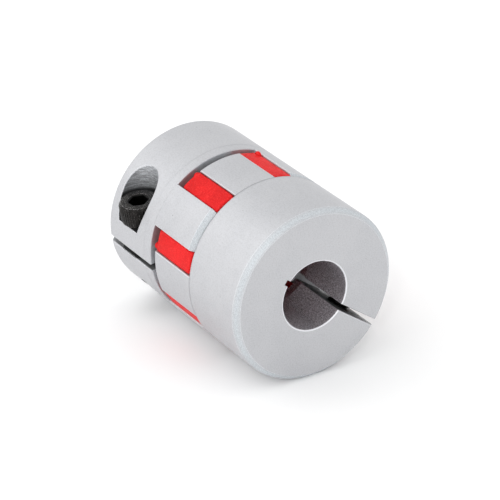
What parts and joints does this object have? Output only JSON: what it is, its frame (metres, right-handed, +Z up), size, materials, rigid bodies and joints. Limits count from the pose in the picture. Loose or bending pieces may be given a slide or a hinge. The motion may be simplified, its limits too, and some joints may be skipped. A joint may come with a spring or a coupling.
{
  "type": "jaw coupling",
  "caption": "Clamp-type jaw coupling with aluminium hubs, interlocking jaws, a red elastic spider between them and a socket head clamp screw in each hub.",
  "frame": {"origin": "on the shaft axis, halfway between the end faces", "axes": "+X along the shaft axis out of the near hub; +Z up with the coupling lying on its side; +Y completes the right-handed frame"},
  "size_m": [0.04, 0.0328, 0.03],
  "materials": {
    "anodised_aluminium": "bead-blasted, clear anodised, satin",
    "red_polyurethane": "moulded, satin",
    "black_steel": "black oxide, slightly oiled"
  },
  "bodies": {
    "far_hub": {"far_hub": "anodised_aluminium"},
    "spider": {"spider": "red_polyurethane"},
    "near_hub": {"near_hub": "anodised_aluminium"},
    "near_clamp_screw": {"near_clamp_screw": "black_steel"},
    "far_clamp_screw": {"far_clamp_screw": "black_steel"}
  },
  "joints": [
    {"name": "plug_in", "type": "slide", "parent": "far_hub", "child": "spider", "axis": [1, 0, 0], "range_m": [-0.0005, 0.0125]},
    {"name": "wind_up", "type": "hinge", "parent": "spider", "child": "near_hub", "pos_m": [0, 0, 0], "axis": [1, 0, 0], "range_deg": [-3, 3], "stiffness_Nm_per_rad": 150, "deforming": ["spider"]},
    {"name": "near_screw_turn", "type": "hinge", "parent": "near_hub", "child": "near_clamp_screw", "pos_m": [0.0135, 0.01195, -0.00306], "axis": [0, 0.5807, 0.8141], "continuous": true},
    {"name": "far_screw_turn", "type": "hinge", "parent": "far_hub", "child": "far_clamp_screw", "pos_m": [-0.0135, -0.01208, 0.00249], "axis": [0, -0.165, 0.9863], "continuous": true}
  ]
}
